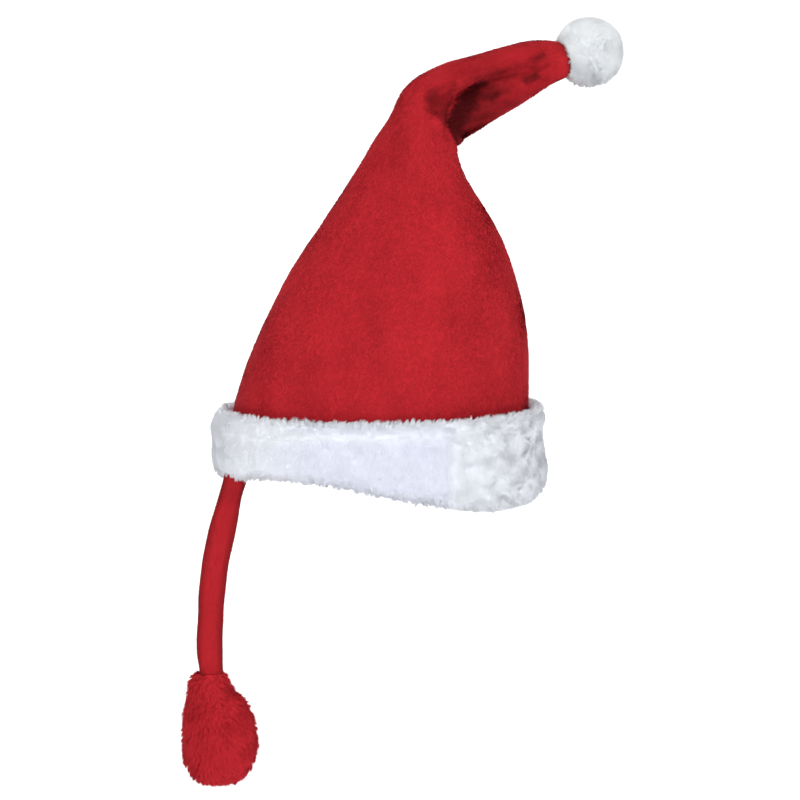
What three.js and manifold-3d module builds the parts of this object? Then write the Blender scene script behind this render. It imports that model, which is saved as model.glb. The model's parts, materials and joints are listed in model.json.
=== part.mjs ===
// A plush Santa hat with a hand pump: a hollow red crown whose tip is bent over to one side, a white fur
// cuff turned up round the head opening, a white pompom, and an air hose in a cloth sleeve that ends in a
// fur-covered pump bulb. Millimetres, +Z up. +X runs from the hose's side to the tip's side and -Y is the
// side that shows the bend's pocket. The origin is the middle of the head opening, where the hat sits on
// the head.
import * as THREE from "three";
import { mergeVertices } from "three/addons/utils/BufferGeometryUtils.js";
import Module from "manifold-3d";

// Crown
const CROWN_LENGTH = 198; // outside, along X, at its foot
const CROWN_WIDTH = 164; // outside, along Y, at its foot
const CLOTH = 2.6; // plush cloth with its nap
const BEND_HEIGHT = 233; // from the head opening's middle up to the crease of the bend
const BEND_OFFSET = 40; // how far the crease lies from the head's axis, along X
const TIP_REACH = 88; // from the crease to the tip's end, along X
const TIP_HEIGHT = 51; // the tip's height where it leaves the bend
const TIP_WIDTH = 43; // the tip's width there, along Y

// Cuff
const CUFF_RISE = 46; // its upper edge above the head opening's middle
const CUFF_TILT = 3; // how much higher its upper edge lies on the tip's side
const CUFF_HANG = 20; // how far it hangs below the head opening's middle where it is widest
const CUFF_THICKNESS = 13;
const HEM_HEIGHT = 9; // the rolled hem under the crown's lower edge
const PINCH_DEPTH = 9.5; // the dent that the fur has at the tip's side
const PINCHED_FUR = 1.9; // what is left of the cuff at the dent's deepest, at the least

// Pompom
const POMPOM_DIAMETER = 46; // over its locks
const POMPOM_LOCK = 1.6; // how far its locks stand out from the hollows between them
const POMPOM_OVERLAP = 11; // how far the tip's end goes into it
const POMPOM_BACK = 5; // how far its centre lies behind the tip's end
const POMPOM_RISE = 7; // how far it is drawn up over the tip's end

// Hose and pump bulb
const HOSE_WIDTH = 17.6;
const HOSE_DEPTH = 11.5;
const BULB_LENGTH = 80;
const BULB_WIDTH = 50;
const BULB_DEPTH = 45;
const BULB_LOCK = 1.8; // how far the bulb's fur locks stand out
const SOCKET_DEPTH = 8; // how far the hose goes into the bulb

// Clearances
const SEAM_GAP = 0.4; // between pieces that touch
const CUFF_LOCK = 1.1; // how far the cuff's fur locks stand out

const CROWN_SIDES = 48;
const CUFF_SIDES = 72;
const BULB_SIDES = 22;
const HOSE_SIDES = 12;
const POMPOM_LOCKS = 90;
const POMPOM_DETAIL = 6;
const HOSE_STEPS = 22;
const TRIM_WAYS = 8;
const HALF_RINGS = { from: 8, to: 16 }; // where the crown has a ring between each two of its tables' rings

// The cone's rings, from the cuff's upper edge to the crease. Each ring leans from its left point to its
// right point: x as shares of half CROWN_LENGTH, z as shares of BEND_HEIGHT, and deep as a share of half
// CROWN_WIDTH. lean is how far the right point lies behind the left one, as a share of TIP_WIDTH.
const RING_COLUMNS = ["leftX", "leftZ", "rightX", "rightZ", "deep", "lean"];
const CONE_RINGS = [
  [-0.994, 0.177, 1.006, 0.186, 1.0, 0],
  [-0.946, 0.257, 1.01, 0.263, 0.985, 0],
  [-0.838, 0.371, 1.012, 0.357, 0.93, 0],
  [-0.716, 0.486, 0.979, 0.471, 0.85, 0],
  [-0.565, 0.6, 0.918, 0.571, 0.755, 0],
  [-0.39, 0.714, 0.832, 0.68, 0.635, 0],
  [-0.25, 0.809, 0.706, 0.78, 0.505, 0],
  [-0.124, 0.886, 0.562, 0.857, 0.415, 0],
  [-0.048, 0.943, 0.53, 0.908, 0.37, 0.02],
  [0.036, 0.994, 0.515, 0.934, 0.335, 0.05],
  [0.097, 1.04, 0.508, 0.944, 0.3, 0.1],
  [0.146, 1.086, 0.51, 0.948, 0.265, 0.18],
];

// The tip's rings, from the crease to its end: x as shares of TIP_REACH and z as shares of TIP_HEIGHT, both
// from the crease, and deep as a share of half TIP_WIDTH.
const TIP_RINGS = [
  [-0.2, 0.58, 0.14, -0.25, 0.98, 0.2],
  [-0.056, 0.72, 0.18, -0.215, 1.0, 0.3],
  [0.104, 0.83, 0.258, -0.105, 1.0, 0.42],
  [0.286, 0.913, 0.394, 0.034, 0.97, 0.42],
  [0.47, 1.003, 0.53, 0.165, 0.92, 0.36],
  [0.621, 1.075, 0.652, 0.312, 0.85, 0.28],
  [0.758, 1.1, 0.773, 0.46, 0.75, 0.2],
  [0.866, 1.085, 0.866, 0.565, 0.64, 0.12],
  [0.938, 1.03, 0.934, 0.61, 0.56, 0.06],
  [0.978, 0.95, 0.97, 0.66, 0.4, 0],
];
const TIP_END = { x: 0.986, z: 0.8 };

// The folds that the bend and the soft tip have. Each is a valley, or where its depth is negative a ridge,
// between two places on the crown, given as a ring (counted from the cuff's upper edge) and an angle round
// it (0 is the right point, -90 faces -Y). Its depth and half width are shares of half TIP_WIDTH.
const FOLD_COLUMNS = ["ringA", "angleA", "ringB", "angleB", "depth", "reach"];
const FOLDS = [
  [11.8, -124, 14.8, -116, -0.13, 0.2],
  [14.8, -116, 18.2, -104, -0.12, 0.18],
  [11.0, -104, 11.8, -68, -0.1, 0.2],
  [11.8, -66, 10.5, -20, -0.1, 0.2],
  [12.3, -100, 13.7, -92, 0.3, 0.3],
  [14.7, -90, 12.6, -62, 0.5, 0.26],
  [14.6, -84, 18.0, -76, 0.34, 0.34],
  [12.2, 20, 13.2, 84, 0.4, 0.26],
  [14.2, 52, 17.4, 66, 0.26, 0.4],
  [17.3, -116, 17.6, -96, 0.16, 0.12],
  [17.6, -80, 18.4, -58, 0.2, 0.14],
  [16.2, -86, 16.9, -56, 0.16, 0.14],
];

// How the cuff hangs round the head opening: the angle (0 is the tip's side, -90 faces -Y), its lower edge
// as a share of CUFF_HANG and its thickness as a share of CUFF_THICKNESS.
const CUFF_COLUMNS = ["angle", "hang", "thick"];
const CUFF_AROUND = [
  [-180, -0.1, 0.94],
  [-150, -0.29, 0.96],
  [-122, -0.36, 0.97],
  [-105, -0.25, 0.97],
  [-90, 0.05, 1.0],
  [-76, 0.31, 1.0],
  [-69, 0.4, 0.93],
  [-64, 0.54, 1.08],
  [-52, 0.7, 1.14],
  [-40, 0.76, 1.12],
  [-26, 0.74, 1.02],
  [-10, 0.58, 0.9],
  [5, 0.38, 0.86],
  [40, 0.16, 0.94],
  [90, 0.04, 1.0],
  [140, -0.04, 1.0],
];
// Where the dent at the tip's side lies: its angle, its height as a share of the cuff's, and half its width
// and height in the same measures.
const PINCH = { angle: -13, up: 0.46, halfAngle: 17.6, halfUp: 0.51 };

// The cuff's section, from the hem's inner corner round under the fur and up to its upper edge: out as a
// share of the thickness and up as a share of the height. What lies against the crown is added by
// cuffSection.
const SECTION_COLUMNS = ["out", "up"];
const CUFF_SECTION = [
  [0.08, 0.012],
  [0.45, 0.0],
  [0.8, 0.03],
  [0.97, 0.12],
  [1.0, 0.32],
  [1.0, 0.56],
  [0.98, 0.79],
  [0.91, 0.91],
  [0.7, 0.98],
  [0.36, 1.0],
];

// The hose's route, from inside the cuff's hem down to the pump bulb.
const HOSE_ROUTE = [
  [-92.2, -40.6, 14],
  [-93.4, -40.9, 6],
  [-95, -41.4, -1.5],
  [-97.2, -41.8, -9],
  [-99.6, -42.2, -17],
  [-101.9, -42.6, -26],
  [-103.2, -42.8, -32],
  [-104.4, -43, -38],
  [-105.8, -43.2, -45],
  [-107.1, -43.5, -52],
  [-108.3, -43.7, -59.5],
  [-109.4, -44, -67],
  [-110.3, -44.3, -75],
  [-110.9, -44.6, -83],
  [-111.4, -45, -98],
  [-111.2, -45.3, -112],
  [-110.6, -45.5, -122],
  [-110.1, -45.5, -131],
];

// The pump bulb's rings from its neck down: down as a share of BULB_LENGTH, wide as a share of its half
// width and its half depth, and side, how far the ring's middle lies off the neck's, as a share of
// BULB_WIDTH.
const BULB_COLUMNS = ["down", "wide", "side"];
const BULB_RINGS = [
  [0.0, 0.4, 0.0],
  [0.03, 0.5, 0.0],
  [0.1, 0.6, -0.01],
  [0.19, 0.68, 0.03],
  [0.29, 0.83, 0.065],
  [0.41, 0.94, 0.085],
  [0.53, 0.98, 0.1],
  [0.66, 1.0, 0.1],
  [0.78, 0.95, 0.085],
  [0.88, 0.79, 0.07],
  [0.955, 0.52, 0.06],
];
const BULB_END = { down: 1.0, side: 0.055 };

const wasm = await Module();
wasm.setup();

const radians = THREE.MathUtils.degToRad;
const vector = (x, y, z) => new THREE.Vector3(x, y, z);

// A table's rows as objects, one value for each named column.
function rows(table, columns) {
  return table.map((row) => Object.fromEntries(columns.map((name, i) => [name, row[i]])));
}

// 1 at the middle, falling smoothly to 0 at a distance of one and beyond.
function bump(distance) {
  const left = Math.max(0, 1 - distance * distance);
  return left * left;
}

// Joins rings of equally many points into a closed surface. It starts and ends on a lone point, or where
// turn is true closes the last ring on the first.
function skin(rings, { start, end, turn = false }) {
  const sides = rings[0].length;
  const points = rings.flat();
  const faces = [];
  const at = (ring, side) => ring * sides + (side % sides);
  const spans = turn ? rings.length : rings.length - 1;
  for (let ring = 0; ring < spans; ring++) {
    const next = (ring + 1) % rings.length;
    for (let side = 0; side < sides; side++) {
      const [a, b, c, d] = [at(ring, side), at(ring, side + 1), at(next, side + 1), at(next, side)];
      faces.push(a, b, c, a, c, d);
    }
  }
  if (start) {
    points.push(start);
    for (let side = 0; side < sides; side++) {
      faces.push(points.length - 1, at(0, side + 1), at(0, side));
    }
  }
  if (end) {
    points.push(end);
    const last = rings.length - 1;
    for (let side = 0; side < sides; side++) {
      faces.push(points.length - 1, at(last, side), at(last, side + 1));
    }
  }
  const geometry = new THREE.BufferGeometry().setFromPoints(points);
  geometry.setIndex(faces);
  return geometry;
}

function solidFrom(geometry) {
  const bare = geometry.index ? geometry.toNonIndexed() : geometry.clone();
  bare.deleteAttribute("normal");
  bare.deleteAttribute("uv");
  const merged = mergeVertices(bare, 1e-3);
  return new wasm.Manifold(
    new wasm.Mesh({
      numProp: 3,
      vertProperties: merged.attributes.position.array,
      triVerts: new Uint32Array(merged.index.array),
    }),
  );
}

function geometryFrom(solid) {
  const mesh = solid.getMesh();
  const geometry = new THREE.BufferGeometry();
  geometry.setAttribute("position", new THREE.BufferAttribute(mesh.vertProperties.slice(), 3));
  geometry.setIndex(new THREE.BufferAttribute(mesh.triVerts.slice(), 1));
  geometry.computeVertexNormals();
  return geometry;
}

function largestPiece(solid) {
  return solid.decompose().sort((a, b) => b.volume() - a.volume())[0];
}

// The crown's left and right sides as curves through its rings, and their half widths along Y as a third
// curve.
function crownSides() {
  const cone = rows(CONE_RINGS, RING_COLUMNS);
  const tip = rows(TIP_RINGS, RING_COLUMNS);
  const half = CROWN_LENGTH / 2;
  const ofCone = (x, z, lean) => vector(x * half, (lean * TIP_WIDTH) / 2, z * BEND_HEIGHT);
  const ofTip = (x, z, lean) =>
    vector(BEND_OFFSET + x * TIP_REACH, (lean * TIP_WIDTH) / 2, BEND_HEIGHT + z * TIP_HEIGHT);
  const left = cone.map((r) => ofCone(r.leftX, r.leftZ, -r.lean));
  const right = cone.map((r) => ofCone(r.rightX, r.rightZ, r.lean));
  left.push(...tip.map((r) => ofTip(r.leftX, r.leftZ, -r.lean)));
  right.push(...tip.map((r) => ofTip(r.rightX, r.rightZ, r.lean)));
  const deep = [...cone.map((r) => r.deep * CROWN_WIDTH), ...tip.map((r) => r.deep * TIP_WIDTH)];
  return {
    left: new THREE.CatmullRomCurve3(left),
    right: new THREE.CatmullRomCurve3(right),
    deep: new THREE.CatmullRomCurve3(deep.map((across) => vector(0, across / 2, 0))),
    last: left.length - 1,
    end: ofTip(TIP_END.x, TIP_END.z, 0),
  };
}

const SIDES = crownSides();

// A point of the crown before its folds: ring counts from the cuff's upper edge.
function unfolded(ring, angle) {
  const share = THREE.MathUtils.clamp(ring / SIDES.last, 0, 1);
  const left = SIDES.left.getPoint(share);
  const right = SIDES.right.getPoint(share);
  const middle = left.clone().lerp(right, 0.5);
  const half = right.sub(left).multiplyScalar(0.5);
  const across = SIDES.deep.getPoint(share).multiplyScalar(Math.sin(angle));
  return middle.addScaledVector(half, Math.cos(angle)).add(across);
}

// The outward direction of a surface given as a function of ring and angle.
function outward(surface, ringAsked, angle) {
  const step = 0.2;
  const turn = radians(4);
  const ring = THREE.MathUtils.clamp(ringAsked, step, SIDES.last - step);
  const along = surface(ring + step, angle).sub(surface(ring - step, angle));
  const round = surface(ring, angle + turn).sub(surface(ring, angle - turn));
  return round.cross(along).normalize();
}

// The folds, each with points along its valley.
const VALLEYS = rows(FOLDS, FOLD_COLUMNS).map((fold) => {
  const steps = 8;
  const line = [];
  for (let i = 0; i <= steps; i++) {
    const share = i / steps;
    const ring = THREE.MathUtils.lerp(fold.ringA, fold.ringB, share);
    const angle = radians(THREE.MathUtils.lerp(fold.angleA, fold.angleB, share));
    line.push(unfolded(ring, angle));
  }
  return { line, depth: (fold.depth * TIP_WIDTH) / 2, reach: (fold.reach * TIP_WIDTH) / 2 };
});

function distanceToLine(point, line) {
  let nearest = Infinity;
  const closest = vector(0, 0, 0);
  for (let i = 1; i < line.length; i++) {
    new THREE.Line3(line[i - 1], line[i]).closestPointToPoint(point, true, closest);
    nearest = Math.min(nearest, closest.distanceTo(point));
  }
  return nearest;
}

// A point of the crown's outer face, with its folds pressed in.
function crownPoint(ring, angle) {
  const point = unfolded(ring, angle);
  const pressed = VALLEYS.reduce(
    (sum, valley) => sum + valley.depth * bump(distanceToLine(point, valley.line) / (2 * valley.reach)),
    0,
  );
  return pressed ? point.addScaledVector(outward(unfolded, ring, angle), -pressed) : point;
}

// The crown below the cuff's upper edge: straight up from an ellipse in the head opening's plane to the
// first ring.
function footPoint(angle, z) {
  const foot = vector((Math.cos(angle) * CROWN_LENGTH) / 2, (Math.sin(angle) * CROWN_WIDTH) / 2, 0);
  const top = unfolded(0, angle);
  return foot.lerp(top, z / top.z).setZ(z);
}

function footOutward(angle) {
  return vector(Math.cos(angle) / CROWN_LENGTH, Math.sin(angle) / CROWN_WIDTH, 0).normalize();
}

// A column of the cuff's table at any angle, eased from row to row.
function roundCuff(column, angle) {
  const table = rows(CUFF_AROUND, CUFF_COLUMNS);
  const degrees = THREE.MathUtils.euclideanModulo(THREE.MathUtils.radToDeg(angle) + 180, 360) - 180;
  const next = table.findIndex((row) => row.angle > degrees);
  const after = next < 0 ? { ...table[0], angle: table[0].angle + 360 } : table[next];
  const before = next < 0 ? table[table.length - 1] : table[next - 1];
  const share = THREE.MathUtils.smoothstep(degrees, before.angle, after.angle);
  return THREE.MathUtils.lerp(before[column], after[column], share);
}

const cuffBottom = (angle) => -CUFF_HANG * roundCuff("hang", angle);
const cuffTop = (angle) => CUFF_RISE + (CUFF_TILT * (1 + Math.cos(angle))) / 2;

// The crown's lower edge clears the hem of the cuff on both sides of each of its points.
function crownFootZ(angle) {
  const turn = (2 * Math.PI) / CROWN_SIDES;
  const hem = Math.max(...[-turn, -turn / 2, 0, turn / 2, turn].map((by) => cuffBottom(angle + by)));
  return hem + HEM_HEIGHT + SEAM_GAP;
}

function crownGeometry() {
  const angles = Array.from({ length: CROWN_SIDES }, (_, i) => (i / CROWN_SIDES) * 2 * Math.PI);
  const stops = [];
  const halved = (ring) => ring >= HALF_RINGS.from && ring < HALF_RINGS.to;
  for (let ring = 0; ring <= SIDES.last; ring += halved(ring) ? 0.5 : 1) stops.push(ring);
  const outer = [angles.map((a) => footPoint(a, crownFootZ(a)))];
  const innerFoot = (a) => footPoint(a, crownFootZ(a)).addScaledVector(footOutward(a), -CLOTH);
  const inner = [angles.map(innerFoot)];
  for (const ring of stops) {
    const way = (a) => (ring ? outward(unfolded, ring, a) : footOutward(a));
    outer.push(angles.map((a) => crownPoint(ring, a)));
    inner.push(angles.map((a) => crownPoint(ring, a).addScaledVector(way(a), -CLOTH)));
  }
  const innerEnd = SIDES.end.clone().add(vector(-CLOTH, 0, 0));
  return skin([...inner.reverse(), ...outer], { start: innerEnd, end: SIDES.end });
}

// How much of the dent's depth a place on the cuff has.
function pinchAt(angle, up) {
  const turned = angle - radians(PINCH.angle) + Math.PI;
  const off = THREE.MathUtils.euclideanModulo(turned, 2 * Math.PI) - Math.PI;
  return bump(Math.hypot(off / radians(PINCH.halfAngle), (up - PINCH.up) / PINCH.halfUp));
}

// The cuff's section at an angle: from the hem's upper corner round under the fur, over the upper edge and
// down the crown. Every other point of the fur is drawn out as a lock's tip, turn about from section to
// section.
function cuffSection(angle, side) {
  const low = cuffBottom(angle);
  const high = cuffTop(angle);
  const thick = CUFF_THICKNESS * roundCuff("thick", angle);
  const place = (out, z) => footPoint(angle, z).addScaledVector(footOutward(angle), out);
  const [corner, ...fur] = rows(CUFF_SECTION, SECTION_COLUMNS);
  const locks = fur.map(({ out, up }, i) => {
    const pinch = pinchAt(angle, up);
    const lock = (i + side) % 2 ? 0 : CUFF_LOCK * (1 - pinch);
    return place(Math.max(PINCHED_FUR, thick * out + lock - pinch * PINCH_DEPTH), low + up * (high - low));
  });
  return [
    place(-CLOTH, low + HEM_HEIGHT),
    place(-CLOTH, low + HEM_HEIGHT / 3),
    place(thick * corner.out, low + corner.up * (high - low)),
    ...locks,
    place(SEAM_GAP, high - HEM_HEIGHT / 2),
    place(SEAM_GAP, low + HEM_HEIGHT),
  ];
}

function cuffGeometry() {
  const turn = (-2 * Math.PI) / CUFF_SIDES;
  return skin(Array.from({ length: CUFF_SIDES }, (_, i) => cuffSection(i * turn, i)), { turn: true });
}

// A ball of locks: each of its points is drawn out towards the nearest lock's tip.
function pompomGeometry() {
  const golden = Math.PI * (3 - Math.sqrt(5));
  const tips = Array.from({ length: POMPOM_LOCKS }, (_, i) => {
    const z = 1 - (2 * i + 1) / POMPOM_LOCKS;
    const across = Math.sqrt(1 - z * z);
    return vector(across * Math.cos(i * golden), across * Math.sin(i * golden), z);
  });
  const lockAngle = Math.sqrt(4 / POMPOM_LOCKS);
  const ball = new THREE.IcosahedronGeometry(1, POMPOM_DETAIL);
  const place = ball.getAttribute("position");
  for (let i = 0; i < place.count; i++) {
    const way = vector(0, 0, 0).fromBufferAttribute(place, i).normalize();
    const nearest = Math.min(...tips.map((tip) => way.angleTo(tip)));
    const radius = POMPOM_DIAMETER / 2 - POMPOM_LOCK * (1 - bump(nearest / lockAngle));
    place.setXYZ(i, ...way.multiplyScalar(radius).toArray());
  }
  return ball;
}

function pompomCentre() {
  const before = unfolded(SIDES.last - 3, Math.PI / 2).setY(0);
  const way = SIDES.end.clone().sub(before).normalize();
  const reach = POMPOM_DIAMETER / 2 - POMPOM_OVERLAP;
  return SIDES.end.clone().addScaledVector(way, reach).add(vector(0, POMPOM_BACK, POMPOM_RISE));
}

// The end of the tip, a little fatter all round, which makes the pompom's seat.
function tipPlug() {
  const angles = Array.from({ length: CROWN_SIDES }, (_, i) => (i / CROWN_SIDES) * 2 * Math.PI);
  const rings = [];
  for (let ring = SIDES.last - 4; ring <= SIDES.last; ring++) {
    const grown = (a) => crownPoint(ring, a).addScaledVector(outward(crownPoint, ring, a), SEAM_GAP);
    rings.push(angles.map(grown));
  }
  const end = SIDES.end.clone().add(vector(SEAM_GAP, 0, 0));
  return skin(rings, { start: unfolded(SIDES.last - 4, Math.PI / 2).setY(0), end });
}

function hoseGeometry(grown = 0) {
  const outline = new THREE.Shape(
    Array.from({ length: HOSE_SIDES }, (_, i) => {
      const angle = (i / HOSE_SIDES) * 2 * Math.PI;
      return new THREE.Vector2(
        Math.cos(angle) * (HOSE_DEPTH / 2 + grown),
        Math.sin(angle) * (HOSE_WIDTH / 2 + grown),
      );
    }),
  );
  const route = new THREE.CatmullRomCurve3(HOSE_ROUTE.map((point) => vector(...point)));
  return new THREE.ExtrudeGeometry(outline, { steps: HOSE_STEPS, bevelEnabled: false, extrudePath: route });
}

// The pump bulb hangs from the hose's end: its neck is SOCKET_DEPTH above it.
function bulbGeometry() {
  const table = rows(BULB_RINGS, BULB_COLUMNS);
  const hoseEnd = vector(...HOSE_ROUTE[HOSE_ROUTE.length - 1]);
  const neck = hoseEnd.add(vector(0, 0, SOCKET_DEPTH));
  const rings = table.map(({ down, wide, side }, ring) =>
    Array.from({ length: BULB_SIDES }, (_, i) => {
      const angle = (-i / BULB_SIDES) * 2 * Math.PI;
      const lock = (ring + i) % 2 ? BULB_LOCK : 0;
      return vector(
        neck.x + side * BULB_WIDTH + Math.cos(angle) * ((wide * BULB_WIDTH) / 2 + lock),
        neck.y + Math.sin(angle) * ((wide * BULB_DEPTH) / 2 + lock),
        neck.z - down * BULB_LENGTH - (down ? lock / 2 : 0),
      );
    }),
  );
  const end = vector(neck.x + BULB_END.side * BULB_WIDTH, neck.y, neck.z - BULB_END.down * BULB_LENGTH);
  return skin(rings, { start: neck, end });
}

const RED_PLUSH = { color: 0xb8202a, roughness: 0.95, metalness: 0 };
const WHITE_FUR = { color: 0xf0f1f7, roughness: 0.95, metalness: 0 };
const WHITE_WOOL = { color: 0xe9edf0, roughness: 0.95, metalness: 0 };
const RED_SLEEVE = { color: 0xb01f28, roughness: 0.9, metalness: 0 };
const RED_FUR = { color: 0xb3212a, roughness: 0.95, metalness: 0 };

function named(name, geometry, finish) {
  const mesh = new THREE.Mesh(geometry, new THREE.MeshStandardMaterial(finish));
  mesh.name = name;
  return mesh;
}

function pompom() {
  const centre = pompomCentre();
  const ball = solidFrom(pompomGeometry()).translate(centre.x, centre.y, centre.z);
  const seated = largestPiece(ball.subtract(solidFrom(tipPlug())));
  return named("pompom", geometryFrom(seated), WHITE_WOOL);
}

// The hose butts against the cuff's hem. The hem, moved by SEAM_GAP down and to all sides in turn, trims
// the hose's upper end.
function hoseSleeve(cuff) {
  const ways = [vector(0, 0, -1)];
  for (let i = 0; i < TRIM_WAYS; i++) {
    const angle = (i / TRIM_WAYS) * 2 * Math.PI;
    const level = vector(Math.cos(angle), Math.sin(angle), 0);
    ways.push(level, level.clone().setZ(-1).normalize());
  }
  const hem = solidFrom(cuff);
  const trimmed = ways.reduce(
    (hose, way) => hose.subtract(hem.translate(...way.multiplyScalar(SEAM_GAP).toArray())),
    solidFrom(hoseGeometry()),
  );
  return named("hose_sleeve", geometryFrom(largestPiece(trimmed)), RED_SLEEVE);
}

function pumpBulb() {
  const socket = solidFrom(hoseGeometry(SEAM_GAP)).translate(0, 0, -SEAM_GAP);
  const hollowed = largestPiece(solidFrom(bulbGeometry()).subtract(socket));
  return named("pump_bulb", geometryFrom(hollowed), RED_FUR);
}

function santaHat() {
  const cuff = cuffGeometry();
  const hat = new THREE.Group();
  hat.add(named("crown", crownGeometry(), RED_PLUSH));
  hat.add(named("cuff", cuff, WHITE_FUR));
  hat.add(pompom());
  hat.add(hoseSleeve(cuff));
  hat.add(pumpBulb());
  return hat;
}

export default santaHat();
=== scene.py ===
"""The looks of a plush Santa hat with a hand pump: velour crown, fur cuff, wool pompom, hose and pump bulb.

Everything is in metres in the part's own frame: +Z up, +X towards the tip's side, -Y the side that shows.
"""
import json
import math

import bpy
import numpy as np
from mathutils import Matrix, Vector
from mathutils.kdtree import KDTree

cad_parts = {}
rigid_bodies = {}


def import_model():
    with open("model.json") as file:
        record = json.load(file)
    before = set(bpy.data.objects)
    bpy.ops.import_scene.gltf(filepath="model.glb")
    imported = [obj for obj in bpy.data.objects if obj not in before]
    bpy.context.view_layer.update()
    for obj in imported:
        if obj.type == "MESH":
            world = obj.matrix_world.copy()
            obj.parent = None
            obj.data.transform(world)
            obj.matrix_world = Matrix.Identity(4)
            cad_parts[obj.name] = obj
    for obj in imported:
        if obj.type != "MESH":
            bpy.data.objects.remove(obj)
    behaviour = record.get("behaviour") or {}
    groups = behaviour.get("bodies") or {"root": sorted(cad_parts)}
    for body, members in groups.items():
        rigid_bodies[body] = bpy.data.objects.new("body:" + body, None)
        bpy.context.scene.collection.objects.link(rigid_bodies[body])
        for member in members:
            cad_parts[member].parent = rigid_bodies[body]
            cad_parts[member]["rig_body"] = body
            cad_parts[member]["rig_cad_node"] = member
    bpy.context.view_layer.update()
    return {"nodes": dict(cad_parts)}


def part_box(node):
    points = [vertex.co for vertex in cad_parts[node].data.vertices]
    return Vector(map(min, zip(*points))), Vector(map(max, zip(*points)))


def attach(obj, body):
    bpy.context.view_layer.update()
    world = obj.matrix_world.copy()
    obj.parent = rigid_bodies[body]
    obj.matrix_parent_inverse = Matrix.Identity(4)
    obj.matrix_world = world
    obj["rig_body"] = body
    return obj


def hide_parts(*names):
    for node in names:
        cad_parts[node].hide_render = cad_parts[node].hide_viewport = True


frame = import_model()

# Where the camera looks and how it stands, from the photo's framing
VIEW_CENTRE = (0.014, 0.0, 0.0505)
VIEW_WIDTH = 0.5336
VIEW_DISTANCE = 2.2
VIEW_ELEVATION = math.radians(7)
FILM_WIDTH = 36.0

# The stage
FLOOR_HEIGHT = -0.30
BACKDROP_DISTANCE = 3.4
BACKDROP_HEIGHT = 2.4
COVE_RADIUS = 0.6
STAGE_WIDTH = 9.0
STAGE_FRONT = -5.0

# The soft boxes that face the hat: name, place, size, power in watts
SOFT_BOXES = [
    ("key_light", (-0.5, -2.2, 1.0), 1.2, 25),
    ("fill_light", (0.9, -2.2, 0.1), 1.6, 10),
    ("left_light", (-2.2, -0.9, 0.3), 1.4, 9),
    ("right_light", (2.2, -0.9, 0.2), 1.4, 14),
    ("top_light", (0.0, -0.2, 2.0), 1.4, 5),
]
AIR_STRENGTH = 0.67

# The hose's route, from inside the cuff's hem to the pump bulb
HOSE_ROUTE = [
    (-0.0922, -0.0406, 0.0140),
    (-0.0934, -0.0409, 0.0060),
    (-0.0950, -0.0414, -0.0015),
    (-0.0972, -0.0418, -0.0090),
    (-0.0996, -0.0422, -0.0170),
    (-0.1019, -0.0426, -0.0260),
    (-0.1032, -0.0428, -0.0320),
    (-0.1044, -0.0430, -0.0380),
    (-0.1058, -0.0432, -0.0450),
    (-0.1071, -0.0435, -0.0520),
    (-0.1083, -0.0437, -0.0595),
    (-0.1094, -0.0440, -0.0670),
    (-0.1103, -0.0443, -0.0750),
    (-0.1109, -0.0446, -0.0830),
    (-0.1114, -0.0450, -0.0980),
    (-0.1112, -0.0453, -0.1120),
    (-0.1106, -0.0455, -0.1220),
    (-0.1101, -0.0455, -0.1310),
]
HOSE_WIDTH = 0.0176
HOSE_DEPTH = 0.0115
HOSE_SIDES = 28

# The crown's middle line, from the head opening round the bend to the tip's end
CROWN_SPINE = [
    (0.0, 0.0, -0.02),
    (0.002, 0.0, 0.05),
    (0.009, 0.0, 0.09),
    (0.016, 0.0, 0.137),
    (0.021, 0.0, 0.165),
    (0.022, 0.0, 0.2),
    (0.028, 0.0, 0.224),
    (0.037, 0.0, 0.243),
    (0.056, 0.0, 0.25),
    (0.082, 0.0, 0.263),
    (0.108, 0.0, 0.273),
    (0.126, 0.0, 0.275),
]
CROWN_HALF_LENGTH = 0.099
CROWN_HALF_WIDTH = 0.082
CROWN_SEAM = 0.0465
CUFF_SEAM = math.radians(-66.5)
HOSE_PLACE = math.radians(-152)
WELD = 1e-5

# How far each skin stands back inside its solid, to leave room for its fibres
CUFF_INSET = 0.0009
PANEL_INSET = 0.0008
POMPOM_INSET = 0.0012
BULB_INSET = 0.0012

# Forms of the skins alone: the seam's groove, the bulges at the cuff's right end and over the hose, the
# bulb's sunken shoulder, and the share by which the hose narrows at its lower end
SEAM_DEPTH = 0.0011
END_BULGE = 0.0035
HOSE_BULGE = 0.0032
SHOULDER_DEPTH = 0.0028
HOSE_NARROWING = 0.11

# How many fibres each pile has, how wide one is at its root, and how deep its root lies
HOSE_NAP_COUNT, HOSE_NAP_WIDTH = 30000, 0.0004
CROWN_NAP_COUNT, CROWN_NAP_WIDTH = 185000, 0.0008
CUFF_FRONT_COUNT, CUFF_BACK_COUNT, CUFF_FUR_WIDTH = 62000, 30000, 0.0006
TUFT_FIBRES, TUFT_COUNT, TUFT_WIDTH = 26000, 1500, 0.0005
WOOL_COUNT, WOOL_TUFTS, WOOL_WIDTH = 50000, 1600, 0.00035
BULB_FUR_COUNT, BULB_TUFTS, BULB_FUR_WIDTH = 48000, 1700, 0.0006
ROOT_DEPTH = 0.0003

# The roll along the cuff's upper part: its height at the front, and how much lower it lies at the left end
ROLL_HEIGHT = 0.0385
ROLL_DROP = 0.0044

# The bend's pocket, where its shade is painted, seen from the front: height, sharp left edge, soft right
# edge
POCKET = [
    (0.2230, 0.0505, 0.0515),
    (0.2282, 0.0478, 0.0534),
    (0.2356, 0.0440, 0.0580),
    (0.2450, 0.0500, 0.0635),
    (0.2524, 0.0534, 0.0660),
    (0.2618, 0.0647, 0.0690),
]

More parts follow.
